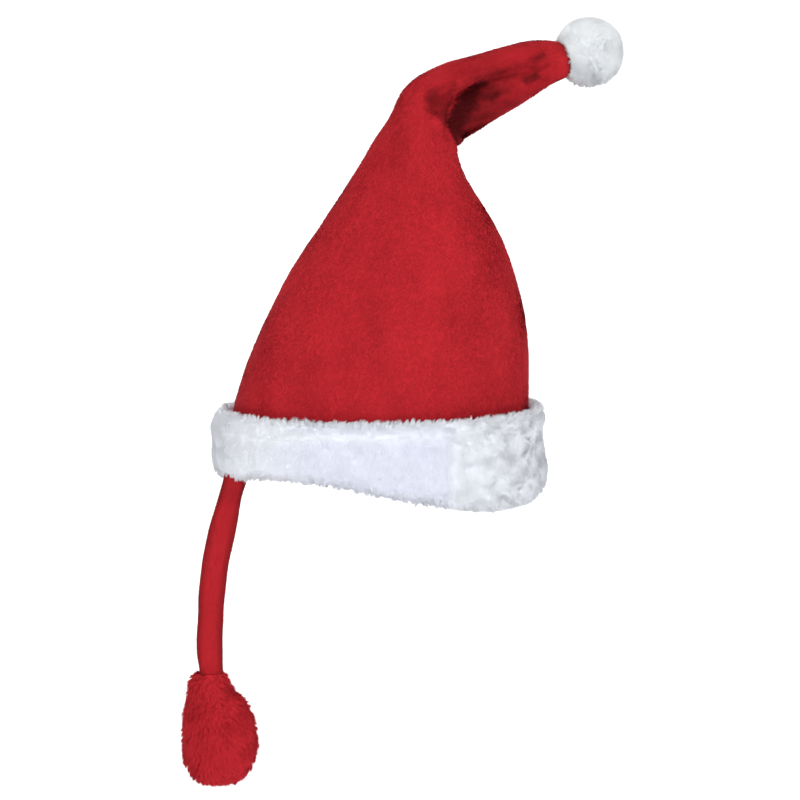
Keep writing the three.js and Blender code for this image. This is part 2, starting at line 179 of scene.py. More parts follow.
# The shaded side of the bend and the tip, seen from the front: place along X, lower edge, upper edge
SHADED_SIDE = [
    (0.0285, 0.2450, 0.2560),
    (0.0393, 0.2403, 0.2620),
    (0.0440, 0.2356, 0.2643),
    (0.0478, 0.2282, 0.2660),
    (0.0505, 0.2230, 0.2671),
    (0.0690, 0.2150, 0.2716),
    (0.0814, 0.2150, 0.2739),
    (0.0920, 0.2150, 0.2769),
    (0.1000, 0.2150, 0.2833),
    (0.1094, 0.2150, 0.2842),
]

# The tip's lower edge, seen from the front: a point on it, as X and Z, and its rise along X
TIP_LOW_EDGE = (0.0500, 0.2230)
TIP_EDGE_RISE = 0.61
TIP_NAP_END = 0.1235

# The groove along the tip that its skin evens out: its start and end along X, its lowest height above the
# tip's lower edge, and its top
GROOVE_START = 0.070
GROOVE_END = 0.113
GROOVE_FOOT = 0.006
GROOVE_TOP = 0.281

# Painted shade in the wrinkles and soft shadows there and on the crown, as strokes seen from the front, and
# a painted highlight on the lobe's rim where the darkening is negative: X and Z of both ends, half width,
# fade, darkening
STROKES = [
    (0.0350, 0.2540, 0.0450, 0.2420, 0.0025, 0.0070, 0.20),
    (0.0600, 0.2330, 0.0720, 0.2560, 0.0030, 0.0110, 0.15),
    (0.0305, 0.2443, 0.0436, 0.2366, 0.0006, 0.0030, 0.12),
    (0.0667, 0.2645, 0.0700, 0.2620, 0.0010, 0.0025, 0.25),
    (0.1010, 0.2775, 0.1085, 0.2790, 0.0008, 0.0028, 0.20),
    (0.0985, 0.2640, 0.1045, 0.2662, 0.0010, 0.0028, 0.32),
    (0.1045, 0.2662, 0.1127, 0.2650, 0.0006, 0.0024, 0.14),
    (0.0760, 0.2524, 0.0834, 0.2571, 0.0012, 0.0030, 0.14),
    (0.0554, 0.2323, 0.0680, 0.2400, 0.0020, 0.0050, 0.08),
    (0.0530, 0.2245, 0.0560, 0.2270, 0.0015, 0.0030, 0.25),
    (0.0293, 0.2423, 0.0374, 0.2255, 0.0005, 0.0025, 0.08),
    (0.0295, 0.2415, 0.0415, 0.2325, 0.0010, 0.0030, -0.08),
    (0.0720, 0.1394, 0.0587, 0.1097, 0.0020, 0.0090, 0.06),
    (0.0590, 0.1760, 0.0575, 0.1560, 0.0004, 0.0040, 0.05),
    (0.0420, 0.2020, 0.0400, 0.1650, 0.0004, 0.0050, 0.05),
    (0.0900, 0.1130, 0.0880, 0.0750, 0.0005, 0.0060, 0.04),
]


# Small helpers


def only(piece):
    """Selects one piece alone and makes it the active one."""
    bpy.ops.object.select_all(action="DESELECT")
    piece.select_set(True)
    bpy.context.view_layer.objects.active = piece
    return piece


def unit(vectors):
    return vectors / np.maximum(np.linalg.norm(vectors, axis=-1, keepdims=True), 1e-12)


def swells(points, size, seed, waves=16):
    """Smooth random relief, mostly from -1 to 1, whose swells are about size across."""
    draw = np.random.default_rng(seed)
    ways = unit(draw.normal(size=(waves, 3))) * (math.pi / size) * draw.uniform(0.6, 1.5, (waves, 1))
    return np.sin(points @ ways.T + draw.uniform(0, 2 * math.pi, waves)).sum(axis=1) / math.sqrt(waves)


def drift(points, size, seed):
    """Three such reliefs as one slowly turning direction."""
    return np.stack([swells(points, size, seed + k) for k in range(3)], axis=1)


def ramp(values, low, high):
    """0 below low, 1 above high, and a smooth rise between."""
    t = np.clip((values - low) / (high - low), 0, 1)
    return t * t * (3 - 2 * t)


def hump(values, middle, width):
    """1 at the middle, falling smoothly to nothing a few widths away."""
    return np.exp(-(((values - middle) / width) ** 2))


def points_of(piece):
    flat = np.empty(len(piece.data.vertices) * 3)
    piece.data.vertices.foreach_get("co", flat)
    return flat.reshape(-1, 3)


def normals_of(piece):
    flat = np.empty(len(piece.data.vertices) * 3)
    piece.data.vertex_normals.foreach_get("vector", flat)
    return flat.reshape(-1, 3)


def set_points(piece, points):
    piece.data.vertices.foreach_set("co", points.ravel())
    piece.data.update()


def paint(piece, values):
    """Stores one number for each vertex, which the material reads as its tone."""
    piece.data.attributes.new("tone", "FLOAT", "POINT").data.foreach_set("value", values)


def welded_copy(node, name, levels, smoothing=0):
    """A copy of a solid as one smooth skin of quads."""
    only(frame["nodes"][node])
    bpy.ops.object.duplicate()
    piece = bpy.context.object
    piece.name = piece.data.name = name
    piece.parent = None
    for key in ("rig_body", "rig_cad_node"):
        del piece[key]
    bpy.ops.object.mode_set(mode="EDIT")
    bpy.ops.mesh.select_all(action="SELECT")
    bpy.ops.mesh.remove_doubles(threshold=WELD)
    bpy.ops.mesh.tris_convert_to_quads(face_threshold=math.radians(60), shape_threshold=math.radians(60))
    if smoothing:
        bpy.ops.mesh.vertices_smooth(factor=0.5, repeat=smoothing)
    bpy.ops.object.mode_set(mode="OBJECT")
    smooth = piece.modifiers.new("smooth", "SUBSURF")
    smooth.levels = smooth.render_levels = levels
    bpy.ops.object.modifier_apply(modifier=smooth.name)
    bpy.ops.object.shade_smooth()
    return piece


def even_out(piece, chosen, repeat):
    """Smooths the chosen vertices among their neighbours."""
    only(piece)
    bpy.ops.object.mode_set(mode="EDIT")
    bpy.ops.mesh.select_mode(type="VERT")
    bpy.ops.mesh.select_all(action="DESELECT")
    bpy.ops.object.mode_set(mode="OBJECT")
    piece.data.vertices.foreach_set("select", chosen)
    bpy.ops.object.mode_set(mode="EDIT")
    bpy.ops.mesh.vertices_smooth(factor=0.5, repeat=repeat)
    bpy.ops.object.mode_set(mode="OBJECT")


def smooth_line(points, count):
    """A smooth line through the given points, as count points evenly far apart."""
    points = np.array(points)
    padded = np.vstack([2 * points[0] - points[1], points, 2 * points[-1] - points[-2]])
    fine = []
    for i in range(len(points) - 1):
        a, b, c, d = padded[i : i + 4]
        for t in np.linspace(0, 1, 24, endpoint=False):
            fine.append(0.5 * (2 * b + (c - a) * t + (2 * a - 5 * b + 4 * c - d) * t**2
                               + (3 * b - a - 3 * c + d) * t**3))
    fine = np.array(fine + [points[-1]])
    along = np.concatenate([[0], np.cumsum(np.linalg.norm(np.diff(fine, axis=0), axis=1))])
    even = np.linspace(0, along[-1], count)
    return np.stack([np.interp(even, along, fine[:, k]) for k in range(3)], axis=1)


SPINE = smooth_line(CROWN_SPINE, 120)
SPINE_WAYS = unit(np.gradient(SPINE, axis=0))


def on_spine(points):
    """For each point the nearest place on the crown's middle line and the line's direction there."""
    nearest = np.empty(len(points), int)
    for start in range(0, len(points), 20000):
        block = points[start : start + 20000]
        nearest[start : start + 20000] = ((block[:, None] - SPINE[None]) ** 2).sum(axis=2).argmin(axis=1)
    return SPINE[nearest], SPINE_WAYS[nearest]


def stroke(points, x_from, z_from, x_to, z_to, wide, fade):
    """1 within a straight stroke seen from the front, falling to 0 over its fade."""
    start = np.array((x_from, z_from))
    run = np.array((x_to, z_to)) - start
    flat = points[:, (0, 2)] - start
    share = np.clip(flat @ run / (run @ run), 0, 1)[:, None]
    return 1 - ramp(np.linalg.norm(flat - share * run, axis=1), wide, wide + fade)


# Materials


class Value:
    """A socket whose sums and products add the Math nodes that they need."""

    def __init__(self, looks, socket):
        self.looks, self.socket = looks, socket

    def _math(self, operation, first, second):
        return self.looks.add("ShaderNodeMath", {"operation": operation}, {0: first, 1: second})

    def __add__(self, other):
        return self._math("ADD", self, other)

    def __sub__(self, other):
        return self._math("SUBTRACT", self, other)

    def __mul__(self, other):
        return self._math("MULTIPLY", self, other)


class Looks:
    """A material in the making: add() makes any node, and shade() sets the finished surface."""

    def __init__(self, name):
        self.material = bpy.data.materials.new(name)
        self.material.use_nodes = True
        self.tree = self.material.node_tree
        self.surface = next(n for n in self.tree.nodes if n.type == "BSDF_PRINCIPLED")

    def add(self, kind, settings=None, inputs=None, output=0):
        node = self.tree.nodes.new(kind)
        for key, value in (settings or {}).items():
            if key == "stops":
                while len(node.color_ramp.elements) < len(value):
                    node.color_ramp.elements.new(0.5)
                for stop, (place, colour) in zip(node.color_ramp.elements, value):
                    stop.position, stop.color = place, (*colour, 1)
            else:
                setattr(node, key, value)
        self.feed(node, inputs or {})
        return Value(self, node.outputs[output])

    def feed(self, node, inputs):
        for key, value in inputs.items():
            if isinstance(value, Value):
                self.tree.links.new(value.socket, node.inputs[key])
            elif isinstance(value, tuple) and len(value) == 3 and node.inputs[key].type == "RGBA":
                node.inputs[key].default_value = (*value, 1)
            else:
                node.inputs[key].default_value = value

    def shade(self, **inputs):
        self.feed(self.surface, {key.replace("_", " "): value for key, value in inputs.items()})
        return self.material

    def noise(self, scale, detail, roughness):
        place = self.add("ShaderNodeTexCoord", output="Object")
        inputs = {"Vector": place, "Scale": scale, "Detail": detail, "Roughness": roughness}
        return self.add("ShaderNodeTexNoise", {"noise_dimensions": "3D"}, inputs)

    def colours(self, value, stops):
        return self.add("ShaderNodeValToRGB", {"stops": stops}, {"Fac": value})

    def attribute(self, name):
        return self.add("ShaderNodeAttribute", {"attribute_name": name}, output="Fac")

    def bump(self, height, distance, strength):
        inputs = {"Height": height, "Distance": distance, "Strength": strength}
        return self.add("ShaderNodeBump", None, inputs)


def linear(red, green, blue):
    """A display colour, each part from 0 to 255, as the linear values that a shader takes."""
    parts = [c / 255 for c in (red, green, blue)]
    return tuple(c / 12.92 if c <= 0.04045 else ((c + 0.055) / 1.055) ** 2.4 for c in parts)


def pile_look(name, stops, grain=900.0, unevenness=0.15, depth=0.0005):
    """Cloth or fur whose colour follows its painted tone, with a fine grain over it."""
    looks = Looks(name)
    fine = looks.noise(grain, 4.0, 0.7)
    tone = looks.attribute("tone") + (fine - 0.5) * unevenness
    return looks.shade(
        Base_Color=looks.colours(tone, stops),
        Roughness=0.95,
        Specular_IOR_Level=0.08,
        Normal=looks.bump(fine, depth, 0.5),
    )


def fibre_look(name, stops):
    """Fibres whose colour follows their painted tone."""
    looks = Looks(name)
    return looks.shade(
        Base_Color=looks.colours(looks.attribute("tone"), stops), Roughness=0.95, Specular_IOR_Level=0.08
    )


# Colours along the tone, from dark to light. The low ends give the painted shade as well as the cloth's own
# darker patches, and the darkest red is the pocket's painted shade.
RED_STOPS = [
    (0.0, linear(64, 10, 13)),
    (0.3, linear(120, 23, 28)),
    (0.6, linear(163, 31, 38)),
    (0.85, linear(184, 37, 45)),
    (1.0, linear(206, 45, 54)),
]
WHITE_STOPS = [(0.0, linear(200, 203, 218)), (0.4, linear(232, 236, 249)), (0.8, linear(246, 249, 255))]
WOOL_STOPS = [(0.0, linear(202, 206, 208)), (0.4, linear(238, 243, 246)), (0.8, linear(250, 253, 255))]


def dress(piece, material, slot, *replaced):
    """Gives a finished piece its material and its place on the part."""
    piece.data.materials.clear()
    piece.data.materials.append(material)
    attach(piece, "root")
    if replaced:
        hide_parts(*replaced)
    return piece


# Fibres


def scatter(base, count, seed, keep):
    """Places on a piece's faces, as many to each share of its area, where keep says how likely each is.

    Also gives their normals and their tones.
    """
    draw = np.random.default_rng(seed)
    mesh = base.data
    mesh.calc_loop_triangles()
    corners = np.empty(len(mesh.loop_triangles) * 3, int)
    mesh.loop_triangles.foreach_get("vertices", corners)
    corners = corners.reshape(-1, 3)
    points, normals = points_of(base), normals_of(base)
    tones = np.empty(len(points))
    mesh.attributes["tone"].data.foreach_get("value", tones)
    a, b, c = (points[corners[:, k]] for k in range(3))
    likely = keep((a + b + c) / 3, unit(normals[corners].sum(axis=1)))
    area = np.linalg.norm(np.cross(b - a, c - a), axis=1) * likely
    face = draw.choice(len(area), count, p=area / area.sum())
    u, v = draw.uniform(size=(2, count))
    over = u + v > 1
    u[over], v[over] = 1 - u[over], 1 - v[over]
    weights = np.stack([1 - u - v, u, v], axis=1)
    chosen = corners[face]
    return (
        (points[chosen] * weights[..., None]).sum(axis=1),
        unit((normals[chosen] * weights[..., None]).sum(axis=1)),
        (tones[chosen] * weights).sum(axis=1),
    )


def gathered(roots, offsets, tufts, pull):
    """The fibres' tips, drawn together into tufts."""
    tree = KDTree(tufts)
    for i in range(tufts):
        tree.insert(roots[i], i)
    tree.balance()
    middle = np.array([tree.find(root)[1] for root in roots])
    tips = roots + offsets
    return offsets + (tips[middle] - tips) * np.broadcast_to(pull, len(roots)).reshape(-1, 1)


def fibres(
    name, roots, normals, ways, lengths, width, lean, tones, spikes=True, tufts=0, pull=0.0, contrast=0.12
):
    """Short tapered fibres as one mesh. They stand on roots and lean by lean from normals towards ways.

    Those of long pile are three-sided spikes, and those of short pile, which lie down, are flat blades.
    """
    count = len(roots)
    tangents = unit(ways - (ways * normals).sum(axis=1, keepdims=True) * normals)
    leans, lengths = (np.broadcast_to(v, count).reshape(-1, 1) for v in (lean, lengths))
    tips = (normals * np.cos(leans) + tangents * np.sin(leans)) * lengths
    if tufts:
        tips = gathered(roots, tips, tufts, pull)
    axes = unit(tips)
    run = tips - (tips * normals).sum(axis=1, keepdims=True) * normals
    sides = np.cross(normals, unit(run))
    if spikes:
        over = np.cross(axes, sides)
        round_axis = [sides * math.cos(a) + over * math.sin(a) for a in np.radians((30, 150, 270))]
        triangles = np.array([[0, 1, 3], [1, 2, 3], [2, 0, 3]])
    else:
        round_axis = [sides, -sides]
        triangles = np.array([[0, 1, 2]])
    foot = roots - normals * ROOT_DEPTH
    points = np.stack([foot + way * width / 2 for way in round_axis] + [roots + tips], axis=1)
    facing = [unit(normals + way * 0.4) for way in round_axis] + [unit(normals + axes * 0.35)]
    facing = np.stack(facing, axis=1)
    along = np.array([0.0] * len(round_axis) + [1.0])
    corners = (np.arange(count)[:, None, None] * len(along) + triangles).reshape(-1)
    mesh = bpy.data.meshes.new(name)
    mesh.vertices.add(count * len(along))
    mesh.vertices.foreach_set("co", points.ravel())
    mesh.loops.add(len(corners))
    mesh.loops.foreach_set("vertex_index", corners)
    mesh.polygons.add(count * len(triangles))
    mesh.polygons.foreach_set("loop_start", np.arange(0, len(corners), 3))
    mesh.update(calc_edges=True)
    mesh.polygons.foreach_set("use_smooth", np.ones(count * len(triangles), bool))
    mesh.normals_split_custom_set_from_vertices(facing.reshape(-1, 3))
    piece = bpy.data.objects.new(name, mesh)
    bpy.context.scene.collection.objects.link(piece)
    # Each fibre is painted darker at its root and lighter at its tip, by the given contrast: painted shade
    # deep in the pile.
    paint(piece, (tones[:, None] + (along[None] - 0.6) * contrast).ravel())
    return piece


# Camera, light and stage


def camera():
    back = Vector((0, -math.cos(VIEW_ELEVATION), math.sin(VIEW_ELEVATION)))
    bpy.ops.object.camera_add(location=Vector(VIEW_CENTRE) + back * VIEW_DISTANCE)
    eye = bpy.context.object
    eye.rotation_mode = "QUATERNION"
    eye.rotation_quaternion = (-back).to_track_quat("-Z", "Y")
    eye.data.sensor_width = FILM_WIDTH
    eye.data.lens = FILM_WIDTH * VIEW_DISTANCE / VIEW_WIDTH
    eye.data.clip_end = 50
    bpy.context.scene.camera = eye


def soft_light(name, place, target, size, power):
    """A square soft box that faces a target."""
    bpy.ops.object.light_add(type="AREA", location=place)
    lamp = bpy.context.object
    lamp.name = name
    lamp.data.size = size
    lamp.data.energy = power
    lamp.rotation_mode = "QUATERNION"
    lamp.rotation_quaternion = (Vector(target) - Vector(place)).to_track_quat("-Z", "Y")


def studio():
    """The soft boxes, a light for the backdrop, and even light from all round."""
    for name, place, size, power in SOFT_BOXES:
        soft_light(name, place, VIEW_CENTRE, size, power)
    soft_light("backdrop_light", (0.0, 1.9, 2.6), (0.0, BACKDROP_DISTANCE, 0.0), 1.4, 70)
    world = bpy.data.worlds.new("studio_air")
    world.use_nodes = True
    air = world.node_tree.nodes["Background"]
    air.inputs["Color"].default_value = (1, 1, 1, 1)
    air.inputs["Strength"].default_value = AIR_STRENGTH
    bpy.context.scene.world = world
    bpy.context.scene.view_settings.view_transform = "Standard"


def backdrop():
    """A pale floor that curves up into a wall behind."""
    bpy.ops.mesh.primitive_plane_add(size=1, location=(0, 0, FLOOR_HEIGHT))
    cove = bpy.context.object
    cove.name = "backdrop"
    cove.scale = (STAGE_WIDTH, BACKDROP_DISTANCE - STAGE_FRONT, 1)
    cove.location.y = (BACKDROP_DISTANCE + STAGE_FRONT) / 2
    bpy.ops.object.transform_apply(location=True, rotation=True, scale=True)
    bpy.ops.object.mode_set(mode="EDIT")
    bpy.ops.mesh.select_all(action="DESELECT")
    bpy.ops.object.mode_set(mode="OBJECT")
    for edge in cove.data.edges:
        edge.select = all(abs(cove.data.vertices[v].co.y - BACKDROP_DISTANCE) < WELD for v in edge.vertices)
    bpy.ops.object.mode_set(mode="EDIT")
    bpy.ops.mesh.select_mode(type="EDGE")
    bpy.ops.mesh.extrude_region_move(TRANSFORM_OT_translate={"value": (0, 0, BACKDROP_HEIGHT)})
    bpy.ops.object.mode_set(mode="OBJECT")
    for edge in cove.data.edges:
        ends = [cove.data.vertices[v].co for v in edge.vertices]
        behind = all(abs(e.y - BACKDROP_DISTANCE) < WELD for e in ends)
        edge.select = behind and all(abs(e.z - FLOOR_HEIGHT) < WELD for e in ends)
    bpy.ops.object.mode_set(mode="EDIT")
    bpy.ops.mesh.bevel(offset=COVE_RADIUS, segments=16)
    bpy.ops.object.mode_set(mode="OBJECT")
    bpy.ops.object.shade_smooth()
    paper = Looks("backdrop_paper")
    cove.data.materials.append(paper.shade(Base_Color=(0.93, 0.93, 0.94), Roughness=0.9))


# The hose


def red_tone(points, seed):
    """Soft patches where the pile lies a little differently."""
    broad = swells(points * (1, 1, 0.6), 0.035, seed) * 0.04
    streaks = swells(points * (1, 1, 0.3), 0.008, seed + 1) * 0.02
    return 0.66 + broad + streaks


def hose():
    """The cloth sleeve round the air hose: a flattened tube with soft creases."""
    line = smooth_line(HOSE_ROUTE, 120)
    ways = unit(np.gradient(line, axis=0))
    angles = np.linspace(0, 2 * math.pi, HOSE_SIDES, endpoint=False)
    share = np.linspace(0, 1, len(line))
    across = unit(np.cross(ways, (0.0, 1.0, 0.0)))
    deep = np.cross(across, ways)
    narrowing = HOSE_NARROWING * ramp(share, 0.84, 0.95)
    wide = HOSE_WIDTH / 2 * (0.84 + 0.13 * ramp(share, 0.12, 0.32) - narrowing)
    rings = (
        line[:, None]
        + across[:, None] * (np.cos(angles)[None, :, None] * wide[:, None, None])
        + deep[:, None] * np.sin(angles)[None, :, None] * HOSE_DEPTH / 2
    )
    points = rings.reshape(-1, 3)
    outward = unit(points - np.repeat(line, HOSE_SIDES, axis=0))
    creased = swells(points * (1, 1, 0.35), 0.008, 31) * 0.0003 + swells(points, 0.015, 32) * 0.0003
    points = points + outward * creased[:, None]
    at = np.arange(len(line) * HOSE_SIDES).reshape(len(line), HOSE_SIDES)
    turned = np.roll(at, -1, axis=1)
    faces = np.stack([at[:-1], turned[:-1], turned[1:], at[1:]], axis=-1).reshape(-1, 4).tolist()
    faces += [at[0][::-1].tolist(), at[-1].tolist()]
    mesh = bpy.data.meshes.new("hose_cover")
    mesh.from_pydata(points.tolist(), [], faces)
    piece = bpy.data.objects.new("hose_cover", mesh)
    bpy.context.scene.collection.objects.link(piece)
    only(piece)
    bpy.ops.object.mode_set(mode="EDIT")
    bpy.ops.mesh.select_all(action="SELECT")
    bpy.ops.mesh.normals_make_consistent(inside=False)
    bpy.ops.object.mode_set(mode="OBJECT")
    bpy.ops.object.shade_smooth()
    # Painted shade: the sleeve is painted darker along both sides, which turn away from the light, and just
    # under the cuff, where the cuff's shadow falls.
    edges = ramp(np.abs((outward * np.repeat(across, HOSE_SIDES, axis=0)).sum(axis=1)), 0.55, 0.98)
    tone = 0.63 + 0.03 * swells(points * (1, 1, 0.4), 0.012, 33)
    paint(piece, tone - 0.22 * edges - 0.11 * ramp(points[:, 2], -0.016, -0.008))
    dress(piece, pile_look("sleeve_cloth", RED_STOPS, 1500.0, 0.1, 0.0002), "red_sleeve", "hose_sleeve")
    return piece, line


def hose_nap(sleeve):
    """The sleeve's own short nap, which points down."""
    roots, normals, tones = scatter(sleeve, HOSE_NAP_COUNT, 41, lambda p, n: np.ones(len(p)))
    draw = np.random.default_rng(42)
    ways = np.array((0.0, 0.0, -1.0)) + 0.4 * draw.normal(size=roots.shape)
    # The nap takes the sleeve's tones, with their painted shade.
    piece = fibres(
        "hose_nap", roots, normals, ways, draw.uniform(0.0007, 0.0013, len(roots)), HOSE_NAP_WIDTH,
        draw.uniform(0.9, 1.3, len(roots)), tones + draw.normal(size=len(roots)) * 0.03, spikes=False,
    )
    return dress(piece, fibre_look("sleeve_nap", RED_STOPS), "red_sleeve")


# The crown


def is_outer(points, normals):
    """Whether each point lies on the crown's outer side."""
    middle, _ = on_spine(points)
    return ((points - middle) * normals).sum(axis=1) > 0


def in_front(points):
    """1 on the side that shows, falling to 0 a little behind the crown's middle."""
    return ramp(-points[:, 1], -0.006, 0.002)


def pocket(points):
    """The bend's pocket, whose inside is painted dark as shade."""
    x, z = points[:, 0], points[:, 2]
    heights, lefts, rights = np.array(POCKET).T
    within = ramp(x - np.interp(z, heights, lefts), -0.0004, 0.0008)
    within *= 1 - ramp(x - np.interp(z, heights, rights), -0.0025, 0.0045)
    within *= ramp(z, heights[0] - 0.004, heights[0])
    return within * (1 - ramp(z, heights[-1] - 0.002, heights[-1] + 0.002))


def shaded_side(points):
    """Where the bend and the tip turn away from the light, with their pile brushed up."""
    x, z = points[:, 0], points[:, 2]
    places, lows, highs = np.array(SHADED_SIDE).T
    within = ramp(z - np.interp(x, places, lows), -0.0004, 0.0008)
    within *= 1 - ramp(z - np.interp(x, places, highs), -0.0045, 0.0015)
    within *= ramp(x, places[0], places[0] + 0.006)
    return within * (1 - ramp(x, places[-1] - 0.002, places[-1] + 0.006))


def crown_tone(points):
    """The crown's tone: soft patches and its seam, with painted shade in the pocket, on the tip's shaded
    side and top and in the strokes, and a painted highlight on the lobe's rim.
    """
    x, z = points[:, 0], points[:, 2]
    # Painted shade on the tip's shaded side, mottled, and in the strokes, one of which paints a highlight
    # instead.
    side = shaded_side(points)
    mottles = swells(points, 0.006, 16) * 0.05 + swells(points, 0.003, 17) * 0.05
    shade = (0.09 - mottles) * side
    ragged = points + drift(points, 0.005, 18) * 0.0008
    for row in STROKES:
        shade = shade + row[-1] * stroke(ragged, *row[:-1])
    seam = hump(x, CROWN_SEAM, 0.0015) * (points[:, 1] < 0) * (1 - ramp(z, 0.14, 0.16))
    # Painted shade: the tip's top is painted a little darker.
    tone = red_tone(points, 15) - 0.06 * seam - 0.04 * ramp(x, 0.03, 0.06) * ramp(z, 0.24, 0.25)
    tone = tone - shade * in_front(points)
    # Painted shade: the pocket's inside is painted nearly black.
    dark = pocket(points) * in_front(points)
    return np.clip(tone * (1 - dark) + 0.03 * dark, 0, 1)


def crown():
    """The plush shell with its soft dents and the small folds of the tip's shadowed side."""
    piece = welded_copy("crown", "crown_plush", 1)
    points, normals = points_of(piece), normals_of(piece)
    outer = is_outer(points, normals)
    above_edge = points[:, 2] - (TIP_LOW_EDGE[1] + TIP_EDGE_RISE * (points[:, 0] - TIP_LOW_EDGE[0]))
    groove = outer & (points[:, 1] < 0.002) & (points[:, 0] > GROOVE_START) & (points[:, 0] < GROOVE_END)
    even_out(piece, groove & (above_edge > GROOVE_FOOT) & (points[:, 2] < GROOVE_TOP), 40)
    points, normals = points_of(piece), normals_of(piece)
    rough = shaded_side(points) * in_front(points)
    moves = swells(points, 0.045, 11) * 0.0006 + swells(points, 0.018, 12) * 0.0002
    moves += rough * (swells(points, 0.008, 13) * 0.0007 + swells(points, 0.004, 14) * 0.0003)
    fade = ramp(points[:, 2], 0.045, 0.07)
    set_points(piece, points + normals * (moves * fade * outer)[:, None])
    paint(piece, crown_tone(points))
    return dress(piece, pile_look("crown_pile", RED_STOPS), "red_plush", "crown")


def crown_nap(shell):
    """The velour's nap. It lies down along the crown, in patches that lean this way and that."""

    def outside(points, normals):
        return is_outer(points, normals) * (points[:, 2] > 0.03) * (points[:, 0] < TIP_NAP_END)

    roots, normals, _ = scatter(shell, CROWN_NAP_COUNT, 21, outside)
    _, along = on_spine(roots)
    draw = np.random.default_rng(22)
    ways = -along + 0.5 * drift(roots, 0.02, 23) + 0.25 * draw.normal(size=roots.shape)
    rough = shaded_side(roots) * in_front(roots)
    lean = 1.28 + 0.06 * swells(roots, 0.016, 27) + draw.normal(size=len(roots)) * 0.06 - 0.08 * rough
    parted = hump(roots[:, 0], CROWN_SEAM, 0.0007) * (roots[:, 1] < 0) * (roots[:, 2] < 0.15)
    lengths = draw.uniform(0.0016, 0.0026, len(roots)) * (1 - 0.5 * parted) * (1 + 0.4 * rough)
    lengths *= 1 - 0.5 * ramp(roots[:, 0], TIP_NAP_END - 0.005, TIP_NAP_END)
    # The nap takes the crown's tones, with their painted shade and highlight.
    tones = crown_tone(roots) + draw.normal(size=len(roots)) * (0.022 + 0.03 * rough) - 0.12 * parted
    piece = fibres(
        "crown_nap", roots, normals, ways, lengths, CROWN_NAP_WIDTH, np.clip(lean, 1.12, 1.45),
        np.clip(tones, 0, 1), spikes=False,
    )
    return dress(piece, fibre_look("crown_fibre", RED_STOPS), "red_plush")


# The cuff


def round_cuff(points):
    """The angle round the head opening: 0 is the tip's side and -90 degrees faces the front."""
    return np.arctan2(points[:, 1] / CROWN_HALF_WIDTH, points[:, 0] / CROWN_HALF_LENGTH)


def from_crown(points):
    """How far each point lies outside the crown's foot, as a share of its half length."""
    return np.hypot(points[:, 0] / CROWN_HALF_LENGTH, points[:, 1] / CROWN_HALF_WIDTH) - 1


def facing_out(points, normals):
    """1 where the cuff faces away from the head, and -1 where it faces the head."""
    away = unit(points * (1 / CROWN_HALF_LENGTH**2, 1 / CROWN_HALF_WIDTH**2, 0))
    return (away * normals).sum(axis=1)


def fluffy(points):
    """The right-hand panel, from the cuff's seam round to its dent, whose fur is longer and curlier."""
    angle = round_cuff(points)
    return ramp(angle, CUFF_SEAM - 0.02, CUFF_SEAM + 0.05) * ramp(-angle, 0.25, 0.45)


def cuff():
    """The turned-up band under its fur, with its seam and the roll below its upper edge."""
    piece = welded_copy("cuff", "cuff_band", 2, smoothing=2)
    points, normals = points_of(piece), normals_of(piece)
    facing = facing_out(points, normals)
    out, panel = ramp(facing, 0.1, 0.7), fluffy(points)
    angle, height = round_cuff(points), points[:, 2]
    outside = ramp(facing, -0.5, 0.3) * ramp(from_crown(points), 0.0, 0.03)
    moves = -(CUFF_INSET + PANEL_INSET * panel) * outside
    moves += (swells(points, 0.03, 51) * 0.0005 + swells(points, 0.009, 52) * 0.0006 * panel) * out
    roll = height - (ROLL_HEIGHT - ROLL_DROP * ramp(-points[:, 0], 0.02, 0.09))
    moves += out * (1 - panel) * (0.0010 * hump(roll, 0, 0.0035) - 0.0005 * hump(roll, -0.010, 0.006))
    moves -= out * SEAM_DEPTH * hump(angle, CUFF_SEAM, 0.022)
    moves += outside * END_BULGE * hump(height, 0.002, 0.014) * ramp(points[:, 0], 0.093, 0.106)
    moves += outside * HOSE_BULGE * hump(angle, HOSE_PLACE, 0.16) * (1 - ramp(height, 0.008, 0.022))
    set_points(piece, points + normals * moves[:, None])
    # Painted light on the band: a highlight along the roll's ridge on the left, shade on the face below the
    # roll, and lighter tones towards both ends and on the right-hand panel, to lift the shade that falls
    # there.
    line = hump(roll, 0, 0.0013) * (1 - ramp(points[:, 0], -0.03, 0.03)) * ramp(points[:, 0], -0.1, -0.085)
    shaded_below_roll = 1 - ramp(roll, -0.006, -0.001)
    band = 0.56 + 0.36 * ramp(np.abs(points[:, 0]), 0.03, 0.09) + 0.4 * line + 0.2 * panel
    band -= 0.16 * shaded_below_roll * (1 - panel)
    band = band + 0.03 * swells(points, 0.02, 53) + 0.04 * swells(points, 0.006, 54) * panel
    paint(piece, np.clip(band, 0, 1))
    return dress(piece, pile_look("cuff_backing", WHITE_STOPS, 700.0), "white_fur", "cuff")


